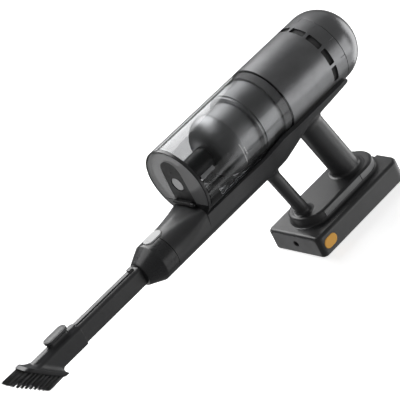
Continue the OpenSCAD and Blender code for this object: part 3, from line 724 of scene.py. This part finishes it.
def spine():
    xs = [0.0, 0.3] + [5 + 5 * i for i in range(46)]
    xs += [232.5, 234.5, 236, 237.5, 238.8, 240, 241, 241.8, 242.4, 242.9, SPINE_X1]
    rings = []
    for x in xs:
        outer = spine_section(x)
        a = math.radians(linear(EDGE_ANGLE, x))
        arc = []
        for i in range(41):
            t = a + (-math.pi - 2 * a) * i / 40
            arc.append((SADDLE_R * math.cos(t), SADDLE_R * math.sin(t)))
        rings.append([(x, y, z) for y, z in outer + arc])
    rear = make("saddle", loft(rings))

    outer_xs = [SPINE_X0 + 0.15, SPINE_X0 + 0.6] + [-50 + 2 * i for i in range(25)] + [0.0]
    outer = [[(x, y, z) for y, z in flare_section(x)] for x in outer_xs]
    bore = []
    for x in (0.0, SPINE_X0 + 0.15):
        turns = [math.pi / 2 + 2 * math.pi * i / 120 for i in range(120)]
        bore.append([(x, BORE_R * math.cos(t), DUCT_Z + BORE_R * math.sin(t)) for t in turns])
    front = make("duct", loft(outer + bore, joined=True, caps=(False, False)))
    carve(front, key_pocket())

    bm = bmesh.new()
    bm.from_mesh(rear.data)
    bm.from_mesh(front.data)
    joined = bpy.data.meshes.new("spine")
    bm.to_mesh(joined)
    bm.free()
    rear.data = joined
    bpy.data.objects.remove(front)
    rear.name = "spine"
    soften(rear, 0.35, 3, 40)
    return place(rear, "body", "housing_plastic", SPINE, "spine_housing")


# ---------------------------------------------------------------- grip, strut and foot
def surface_of(obj):
    graph = bpy.context.evaluated_depsgraph_get()
    mesh = obj.evaluated_get(graph).to_mesh()
    tree = BVHTree.FromPolygons([v.co.copy() for v in mesh.vertices],
                                [tuple(p.vertices) for p in mesh.polygons])
    obj.evaluated_get(graph).to_mesh_clear()
    return tree


# How far below its top a tube is free of both the saddle and the foot
TUBE_MIDDLE = 26


def leaning_tube(name, top, diameter, fillets, upper, lower, *replaced):
    """Tube leaning back from the saddle down to the foot, with a fillet against both."""
    down = Vector((math.sin(LEAN), 0, -math.cos(LEAN)))
    side = Vector((math.cos(LEAN), 0, math.sin(LEAN)))
    steps = 72
    r = diameter / 2
    columns = []
    for i in range(steps):
        a = 2 * math.pi * i / steps
        out = side * math.cos(a) + Vector((0, 1, 0)) * math.sin(a)

        def hit(tree, radius, way):
            origin = (top + out * radius + down * TUBE_MIDDLE) * MM
            spot = tree.ray_cast(origin, way, 0.2)[0]
            return spot / MM if spot is not None else None
        column = []
        for tree, sign, fillet in ((upper, 1, fillets[0]), (lower, -1, fillets[1])):
            near = hit(tree, r, down * -sign)
            far = hit(tree, r + fillet, down * -sign)
            if near is None or far is None:
                raise RuntimeError("the %s's fillet finds no surface" % name)
            begin = near + down * fillet * sign
            arc = []
            for k in range(11):
                t = k / 10
                arc.append(far * (1 - t) ** 2 + near * 2 * t * (1 - t) + begin * t ** 2)
            arc.insert(0, far - down * 1.5 * sign)
            column.append(arc)
        columns.append(column[0] + list(reversed(column[1])))
    rings = [[columns[i][k] for i in range(steps)] for k in range(len(columns[0]))]
    obj = make(name, loft([[tuple(p) for p in ring] for ring in rings]), PART)
    return place(obj, "body", "housing_plastic", SPINE, *replaced)


FOOT_X0, FOOT_X1 = low("handle_foot").x / MM, high("handle_foot").x / MM


def stadium(x0, x1, half, count=40):
    """Round-ended outline in plan."""
    points = []
    for cx, start in ((x1 - half, -90), (x0 + half, 90)):
        for i in range(count + 1):
            a = math.radians(start + 180 * i / count)
            points.append((cx + half * math.cos(a), half * math.sin(a)))
    return points


FOOT_HALF = (high("handle_foot").y - low("handle_foot").y) / 2 / MM
# Height above the battery against how far the foot has drawn in from its lowest outline
FOOT_FORM = [(0.0, 0.0), (0.15, 0.9), (0.6, 1.7), (1.4, 2.3), (2.6, 2.6), (9.8, 3.1), (10.6, 3.5),
             (11.4, 4.3), (11.9, 5.4), (FOOT_TOP_Z - FOOT_Z0, 7.0)]
STRIP_X0, STRIP_X1 = low("foot_grip_strips").x / MM, high("foot_grip_strips").x / MM
STRIP_LOW, STRIP_HIGH = 2.9, 9.9


def foot():
    rings = []
    for z, inset in FOOT_FORM:
        ring = stadium(FOOT_X0 + inset, FOOT_X1 - inset, FOOT_HALF - inset)
        rings.append([(x, y, FOOT_Z0 + z) for x, y in ring])
    obj = make("foot", loft(rings), PART)
    cutters = [box_mesh((-49, -20, 20), (51, 20, FOOT_Z0 + 8))]
    for s in (-1, 1):
        a, b = sorted((s * (FOOT_HALF - 5), s * (FOOT_HALF + 4)))
        cutters.append(box_mesh((STRIP_X0 - 0.4, a, FOOT_Z0 + STRIP_LOW - 0.3),
                                (STRIP_X1 + 0.4, b, FOOT_Z0 + STRIP_HIGH + 0.3)))
    carve(obj, *[make("cutter", c, PART) for c in cutters])
    soften(obj, 0.3, 2, 40)
    return place(obj, "body", "housing_plastic", SPINE, "handle_foot")


def strip_ring(x, y, out_x, out_y, proud):
    """Cross-section of a strip let into the foot's wall at a plan point, facing outwards."""
    ring = []
    for z, out in ((STRIP_LOW, -1.5), (STRIP_LOW, proud), (STRIP_HIGH, proud), (STRIP_HIGH, -1.5)):
        depth = out - linear(FOOT_FORM, z)
        ring.append((x + out_x * depth, y + out_y * depth, FOOT_Z0 + z))
    return ring


def foot_strips():
    """Ridged strips let into both sides of the foot, and the smooth band round its rear end."""
    ridges = 44
    pitch = (STRIP_X1 - STRIP_X0) / ridges
    rows = []
    for i in range(ridges):
        x = STRIP_X0 + pitch * i
        rows += [(x, 0.0), (x + pitch * 0.2, 0.3), (x + pitch * 0.55, 0.3), (x + pitch * 0.75, 0.0)]
    rows.append((STRIP_X1, 0.0))
    bm = bmesh.new()
    for s in (-1, 1):
        loft([strip_ring(x, s * FOOT_HALF, 0, s, proud) for x, proud in rows], into=bm)
    obj = make("foot_strips", bm, PART)
    soften(obj, 0.12, 2, 40)
    place(obj, "body", "strip_plastic", STRIP_GREY_AND_PAINTED_LIGHT, "foot_grip_strips")

    centre = FOOT_X1 - FOOT_HALF
    rings = [strip_ring(STRIP_X1 + 0.9, -FOOT_HALF, 0, -1, 0.3)]
    for i in range(49):
        a = math.radians(-90 + 180 * i / 48)
        rings.append(strip_ring(centre + FOOT_HALF * math.cos(a), FOOT_HALF * math.sin(a),
                                math.cos(a), math.sin(a), 0.3))
    rings.append(strip_ring(STRIP_X1 + 0.9, FOOT_HALF, 0, 1, 0.3))
    band = make("foot_band", loft(rings), PART)
    soften(band, 0.4, 3, 40)
    place(band, "body", "strip_plastic", STRIP_GREY_AND_PAINTED_LIGHT)


# ---------------------------------------------------------------- battery
BAT_X0 = low("battery_end_cap").x / MM
BAT_X1 = high("battery_case").x / MM
BAT_H = high("battery_case").z / MM
BAT_W = (high("battery_case").y - low("battery_case").y) / MM
SEAM_X = high("battery_end_cap").x / MM
BUTTON_X = (low("battery_button_left").x + high("battery_button_left").x) / 2 / MM
BUTTON_Z = (low("battery_button_left").z + high("battery_button_left").z) / 2 / MM
JACK_Z = 14.2
KEY_FLANGE = 2.4
KEY_L = (high("battery_button_left").x - low("battery_button_left").x) / MM - KEY_FLANGE
KEY_H = (high("battery_button_left").z - low("battery_button_left").z) / MM


def battery_plan(inset):
    """The battery's outline from above: rounder at the rear than at the front."""
    points = []
    for end, way, side, start, radius in ((BAT_X1, 1, -1, -90, 13.0), (BAT_X1, 1, 1, 0, 13.0),
                                          (BAT_X0, -1, 1, 90, 7.0), (BAT_X0, -1, -1, 180, 7.0)):
        r = radius - inset
        for i in range(13):
            a = math.radians(start + 7.5 * i)
            points.append((end - way * radius + r * math.cos(a),
                           side * (BAT_W / 2 - radius) + r * math.sin(a)))
    return points


PLATE_OUTLINE = (74.0, 23.0, 5.0)


def battery_case():
    """Case with rounded edges, open at the front for its end plate and on top for the rail."""
    top_r, low_r = 4.5, 3.0
    steps = []
    for i in range(8):
        a = math.radians(90 * i / 7)
        steps.append((low_r * (1 - math.cos(a)), low_r * (1 - math.sin(a))))
    for i in range(10):
        a = math.radians(90 * i / 9)
        steps.append((BAT_H - top_r + top_r * math.sin(a), top_r * (1 - math.cos(a))))
    rings = [[(x, y, z) for x, y in battery_plan(inset)] for z, inset in steps]
    obj = make("battery_shell", loft(rings), PART)
    lip, floor, inside = BAT_H - 3, BAT_H - 5.8, 2.0
    width, height, radius = PLATE_OUTLINE
    opening = outline_rounded(width + 0.7, height + 0.7, radius + 0.35)
    pocket = slab([(y, BAT_H / 2 - 0.4 + z) for y, z in opening], 0, BAT_X0 - 2, BAT_X0 + 3.2)
    cutters = [pocket, box_mesh((SEAM_X + 1.5, -39.4, inside), (73, 39.4, floor - 1.2)),
               box_mesh((-52, -8.3, lip - 1), (90, 8.3, 40)),
               box_mesh((-52, -11.3, floor), (90, 11.3, lip))]
    for s in (-1, 1):
        hole = slab(outline_pill(KEY_L + 0.4, KEY_H + 0.4), 2, 36, 50)
        hole.transform(Matrix.Translation((BUTTON_X, 0, BUTTON_Z))
                       @ Matrix.Rotation(math.radians(-90 * s), 4, "X"))
        cutters.append(hole)
    carve(obj, *[make("cutter", c, PART) for c in cutters])
    soften(obj, 0.3, 2, 45)
    place(obj, "battery", "housing_plastic", SPINE, "battery_case")


def battery_end():
    outline = [(y, BAT_H / 2 - 0.4 + z) for y, z in outline_rounded(*PLATE_OUTLINE)]
    obj = make("battery_end", slab(outline, 0, BAT_X0 + 0.1, SEAM_X), PART)
    hole = turned([(-90, 0), (-90, 3.8), (-60, 3.8), (-60, 0)], steps=64, closed=False)
    hole.transform(Matrix.Translation((0, 0, JACK_Z)))
    carve(obj, make("jack_hole", hole, PART))
    soften(obj, 0.45, 3, 45)
    place(obj, "battery", "strip_plastic", END, "battery_end_cap")


def battery_buttons():
    for name, s in (("battery_button_left", -1), ("battery_button_right", 1)):
        face = (high(name).y if s > 0 else -low(name).y) / MM
        rings = []
        for depth, wider, taller in ((37.6, KEY_FLANGE, -0.8), (39.2, KEY_FLANGE, -0.8), (39.25, 0.0, 0.0),
                                     (face - 0.6, 0.0, 0.0), (face - 0.2, -0.25, -0.25), (face, -0.9, -0.9),
                                     (face - 0.1, -3.0, -3.0), (face - 0.15, -6.0, -6.0)):
            ring = outline_pill(KEY_L + wider, KEY_H + taller)
            rings.append([(BUTTON_X + x, s * depth, BUTTON_Z + y) for x, y in ring])
        obj = make(name + "_key", loft(rings), PART)
        place(obj, name, "button_orange", ORANGE, name)


# ---------------------------------------------------------------- nozzle
def adapter():
    bore = 17.5
    taper = CONE_X - 19.3
    profile = [(ADAPTER_X1, bore), (ADAPTER_X1, BORE_R - 0.3), (COLLAR_X, BORE_R - 0.3),
               (COLLAR_X, DUCT_R - 0.3), (COLLAR_X - 0.3, DUCT_R), (CONE_X + 1.4, DUCT_R),
               (CONE_X + 0.5, DUCT_R - 0.15), (CONE_X - 0.5, DUCT_R - 0.6), (taper + 2.2, 15.4),
               (taper + 0.8, 14.6), (taper + 0.2, 14.0), (taper, 13.3), (taper, 6),
               (taper + 2, 6), (CONE_X, bore)]
    obj = make("adapter", turned(profile, DUCT_Z))
    carve(obj, key_pocket())
    soften(obj, 0.25, 2, 40)
    place(obj, "tool", "cap_plastic", ADAPTER, "tool_adapter")


def pill_key(name, centre, length, width, z0, z1, dish, body, slot, material, replaced, rim=0.5):
    """Round-ended key with a rolled rim and a dished top."""
    rings = []
    for z, inset in ((z0, 0.0), (z1 - rim, 0.0), (z1 - rim * 0.3, rim * 0.3), (z1, rim),
                     (z1 - dish * 0.3, rim * 2), (z1 - dish, width * 0.3), (z1 - dish, width * 0.45)):
        ring = outline_pill(length - 2 * inset, width - 2 * inset)
        rings.append([(centre + x, y, z) for x, y in ring])
    obj = make(name, loft(rings))
    return place(obj, body, slot, material, replaced)


def nozzle_button():
    z0, z1 = levels("nozzle_button")
    pill_key("release_key", NOZZLE_KEY_X, 24.0, 13.5, z0, z1, 0.15,
             "nozzle_button", "button_grey", BUTTON, "nozzle_button")


CREVICE_W, CREVICE_H, CREVICE_R = 14.5, 24.0, 5.0


def duct_ring(x, outline):
    return [(x, y, DUCT_Z + z) for y, z in outline]


def crevice():
    outer = outline_rounded(CREVICE_W, CREVICE_H, CREVICE_R)
    inner = outline_rounded(CREVICE_W - 3.4, CREVICE_H - 3.4, 3.4)
    rings = [duct_ring(x, outline) for x, outline in
             ((CREVICE_X1, outer), (CREVICE_X0, outer), (CREVICE_X0, inner), (CREVICE_X1, inner))]
    obj = make("crevice", loft(rings, joined=True, caps=(False, False)))
    top = DUCT_Z + CREVICE_H / 2
    rail = slab(outline_rounded(CREVICE_X1 - 4 + 190, 5.2, 1.2, 4), 2, top - 0.6, top + 1.6)
    rail.transform(Matrix.Translation(((CREVICE_X1 - 4 - 190) / 2, 0, 0)))
    catch = slab(outline_rounded(6, 5.2, 1.0, 4), 2, top - 0.6, top + 3.4)
    catch.transform(Matrix.Translation((-101, 0, 0)))
    carve(obj, make("rail", rail), make("catch", catch), mode="UNION")
    soften(obj, 0.5, 3, 40)
    place(obj, "tool", "housing_plastic", SPINE, "crevice_tube")


MOUTH_TOP = Vector((-270.3, 0, 21.0))
MOUTH_LOW = Vector((-232.0, 0, -21.0))
MOUTH_W, MOUTH_H = 25.0, 42.0


def mouth_x(z, offset=0.0):
    """x of the slanting mouth at height z about the duct's centreline."""
    slope = (MOUTH_TOP.x - MOUTH_LOW.x) / (MOUTH_TOP.z - MOUTH_LOW.z)
    return MOUTH_LOW.x + (z - MOUTH_LOW.z) * slope + offset


def brush_sleeve():
    steps = 8
    sleeve = outline_rounded(CREVICE_W + 3, CREVICE_H + 3, 6, steps)
    flange = outline_rounded(MOUTH_W, MOUTH_H, 7, steps)
    inner = outline_rounded(CREVICE_W + 0.6, CREVICE_H + 0.6, 5.3, steps)
    rear = along("brush_sleeve")[1]

    def mix(a, b, t):
        return [(p[0] + (q[0] - p[0]) * t, p[1] + (q[1] - p[1]) * t) for p, q in zip(a, b)]
    rings = [duct_ring(rear - 0.01, mix(sleeve, inner, 0.25)), duct_ring(rear - 0.5, sleeve)]
    for k in range(13):
        a = math.radians(90 * k / 12)
        grow = 1 - math.cos(a)
        back = 6.0 + 9.0 * (1 - math.sin(a))
        ring = mix(sleeve, flange, grow)
        rings.append([(mouth_x(z, back), y, DUCT_Z + z) for y, z in ring])
    bulge = outline_rounded(MOUTH_W + 0.2, MOUTH_H + 0.2, 7, steps)
    inset = outline_rounded(MOUTH_W - 1, MOUTH_H - 1, 6.5, steps)
    for back, outline in ((5.2, bulge), (0.8, flange), (0.0, inset), (0.0, inner)):
        rings.append([(mouth_x(z, back), y, DUCT_Z + z) for y, z in outline])
    rings.append(duct_ring(rear - 0.01, inner))
    obj = make("brush_collar", loft(rings, joined=True, caps=(False, False)))
    top = DUCT_Z + CREVICE_H / 2
    key_x = sum(along("brush_button")) / 2
    tower_rings = []
    for z, grow in ((0.6, 5.0), (1.3, 3.0), (2.2, 1.4), (3.4, 0.5), (5.5, 0.0)):
        tower_rings.append([(key_x + x, y, top + z) for x, y in outline_pill(28 + grow, 9 + grow)])
    carve(obj, make("tower", loft(tower_rings)), mode="UNION")
    ridge = []
    for z, grow in ((0.4, 1.4), (1.9, 0.2), (2.7, -0.9), (3.3, -2.2)):
        half = 4.6 + grow
        plan = [(rear - 1.0, -half + 1.6), (rear - 1.0, half - 1.6), (rear - 2.4, half)]
        front = mouth_x(CREVICE_H / 2, 7.0)
        plan += [(front, half), (front, -half), (rear - 2.4, -half)]
        ridge.append([(x, y, top + z) for x, y in plan])
    carve(obj, make("ridge", loft(ridge)), mode="UNION")
    slot = make("slot", box_mesh((-300, -3, DUCT_Z), (rear + 1, 3, top + 2.1)))
    well = slab(outline_pill(24, 6), 2, top + 3.4, top + 20)
    well.transform(Matrix.Translation((key_x, 0, 0)))
    carve(obj, slot, make("well", well))
    soften(obj, 0.3, 2, 50)
    place(obj, "brush", "dark_plastic", BRUSH, "brush_sleeve")


def brush_button():
    x0, x1 = along("brush_button")
    z1 = levels("brush_button")[1]
    pill_key("brush_key", (x0 + x1) / 2, x1 - x0, 12.5, z1 - 3.0, z1, 0.9, "brush_button",
             "housing_plastic", KEY, "brush_button", rim=0.7)


def bristles():
    """Tufts round the mouth, each a bundle of tapering filaments that spreads towards its tips."""
    bm = bmesh.new()
    rows = [(outline_rounded(21.2, 37.6, 6.0, 6), 26), (outline_rounded(18.0, 33.6, 4.5, 6), 23)]
    for outline, count in rows:
        spots = resample(outline + [outline[0]], count + 1)[:-1]
        for y, z in spots:
            for _ in range(FILAMENTS):
                spin = random.uniform(0, 2 * math.pi)
                reach = TUFT_R * math.sqrt(random.random())
                fy, fz = y + reach * math.cos(spin), z + reach * math.sin(spin)
                lean_y = (fy - y) * 0.5 + y * 0.04 + random.gauss(0, 0.1)
                lean_z = (fz - z) * 0.7 - z * 0.02 + random.gauss(0, 0.25)
                tip = BRISTLE_LEN * random.uniform(0.88, 0.955)
                base_x = mouth_x(fz, 1.0)
                thick = random.uniform(0.14, 0.20)
                rings = []
                for t, w in ((0.0, 1.0), (0.5, 0.95), (0.85, 0.7), (1.0, 0.2)):
                    cx = base_x - (tip + 1.0) * t
                    cy = fy + lean_y * t * t
                    cz = DUCT_Z + fz + lean_z * t * t
                    rings.append([(cx, cy + thick * w * math.cos(a), cz + thick * w * math.sin(a))
                                  for a in (0, 2.094, 4.189)])
                loft(rings, into=bm)
    obj = make("bristle_tufts", bm)
    place(obj, "brush", "bristle", BRISTLE, "bristles")


# ---------------------------------------------------------------- CAD nodes that stay
KEPT = {
    "motor_bulkhead": DARK, "exhaust_filter": FOAM, "motor_mounts": RUBBER, "motor_can": ALUMINIUM,
    "stator_core": MAGNET, "stator_coils": COPPER, "diffuser": INNER, "fan_cover": INNER,
    "shaft_bearings": STEEL, "control_board": BOARD, "power_button_spring": STEEL, "battery_rail": DARK,
    "contact_blades": CONTACT, "power_lead": WIRE, "housing_screws": STEEL, "rotor_shaft": STEEL,
    "rotor_magnet": MAGNET, "impeller": ALUMINIUM, "bin_inlet": DARK, "inlet_flap": RUBBER,
    "cyclone_core": DARK, "filter_frame": CYCLONE, "hepa_filter": PAPER, "bin_seal": SEAL,
    "lid_hinge_pin": STEEL, "lid_seal": RUBBER, "lid_button_spring": STEEL, "lid_latch": INNER,
    "battery_cells": CELL, "cell_straps": STEEL, "battery_board": BOARD, "charge_jack": DARK,
    "battery_button_springs": STEEL,
}


def dress_kept_nodes():
    for name, material in KEPT.items():
        obj = NODES[name]
        obj.data.materials.clear()
        obj.data.materials.append(material)
        weld = obj.modifiers.new("weld", "WELD")
        weld.merge_threshold = 0.002 * MM
        if "spring" not in name:
            soften(obj, 0.15, 2, 40)


# ---------------------------------------------------------------- stage
def stage():
    bm = bmesh.new()
    bmesh.ops.create_grid(bm, x_segments=2, y_segments=2, size=4.0)
    mesh = bpy.data.meshes.new("floor")
    bm.to_mesh(mesh)
    bm.free()
    floor = bpy.data.objects.new("floor", mesh)
    bpy.context.scene.collection.objects.link(floor)
    material, tree = shader("floor_white")
    close(tree, add(tree, "BsdfPrincipled", {
        "Base Color": (0.80, 0.80, 0.80, 1), "Roughness": 0.9, "Emission Color": (1, 1, 1, 1),
        "Emission Strength": 0.74}))
    floor.data.materials.append(material)
    floor.visible_glossy = False
    floor.visible_diffuse = False
    floor.visible_shadow = False


def panel(name, spot, tall, wide, strength):
    """Soft panel light facing the barrel. Its strength is its brightness, whatever its size."""
    data = bpy.data.lights.new(name, "AREA")
    data.shape = "RECTANGLE"
    data.size = tall
    data.size_y = wide
    data.energy = strength * tall * wide * math.pi
    light = bpy.data.objects.new(name, data)
    light.location = spot
    middle = Vector((FRONT_X + 0.10, 0, AXIS_Z))
    light.rotation_euler = (middle - Vector(spot)).to_track_quat("-Z", "X").to_euler()
    light.visible_camera = False
    bpy.context.scene.collection.objects.link(light)


def lights():
    world = bpy.data.worlds.new("studio")
    bpy.context.scene.world = world
    world.use_nodes = True
    background = world.node_tree.nodes["Background"]
    background.inputs["Color"].default_value = (1, 1, 1, 1)
    background.inputs["Strength"].default_value = 0.16
    panel("back_left_panel", (0.16, 0.92, 1.28), 1.6, 0.94, 4.8)
    panel("back_panel", (1.30, 0.92, 1.28), 1.6, 1.1, 0.3)
    panel("right_panel", (1.05, 0.0, -0.22), 1.1, 0.6, 2.2)
    panel("top_panel", (-0.45, 0.45, 1.45), 1.0, 1.2, 1.5)
    panel("front_strip", (0.72, -0.86, -0.08), 0.7, 0.7, 1.7)
    panel("front_left_strip", (0.10, -0.86, -0.08), 0.5, 0.7, 0.6)
    panel("low_strip", (0.72, -0.55, -0.55), 0.7, 0.7, 0.9)
    panel("low_left_strip", (0.10, -0.55, -0.55), 0.5, 0.7, 0.35)
    panel("left_panel", (-0.62, 0.62, -0.30), 0.8, 0.6, 0.8)


def camera():
    """The camera looks down from the nozzle's side, rolled so that the vacuum rises to the right."""
    data = bpy.data.cameras.new("camera")
    data.sensor_width = 36.0
    data.lens = CAM_LENS
    cam = bpy.data.objects.new("camera", data)
    azimuth, elevation, roll = (math.radians(a) for a in (CAM_AZIMUTH, CAM_ELEVATION, CAM_ROLL))
    look = Vector((math.sin(azimuth) * math.cos(elevation), math.cos(azimuth) * math.cos(elevation),
                   -math.sin(elevation)))
    target = Vector((FRONT_X + CAM_AIM_X, 0, AXIS_Z - CAM_AIM_Z))
    right = look.cross(Vector((0, 0, 1))).normalized()
    up = right.cross(look)
    tilted_up = up * math.cos(roll) + right * math.sin(roll)
    tilted_right = look.cross(tilted_up)
    turn = Matrix((tilted_right, tilted_up, -look)).transposed().to_4x4()
    cam.matrix_world = Matrix.Translation(target - look * CAM_DISTANCE) @ turn
    bpy.context.scene.collection.objects.link(cam)
    bpy.context.scene.camera = cam


camera()
lights()
stage()
bpy.context.scene.view_settings.view_transform = "Standard"

bin_shell()
motor_housing()
rear_cap()
power_button()
lid()
lid_strap()
lid_button()
cyclone()
spine_piece = spine()
foot_piece = foot()
foot_strips()
saddle_tree = surface_of(spine_piece)
foot_tree = surface_of(foot_piece)
leaning_tube("grip", GRIP_TOP, GRIP_D, (10.0, 5.5), saddle_tree, foot_tree, "handle_grip")
leaning_tube("strut", STRUT_TOP, STRUT_D, (11.0, 4.5), saddle_tree, foot_tree, "front_strut")
battery_case()
battery_end()
battery_buttons()
adapter()
nozzle_button()
crevice()
brush_sleeve()
brush_button()
bristles()
dress_kept_nodes()
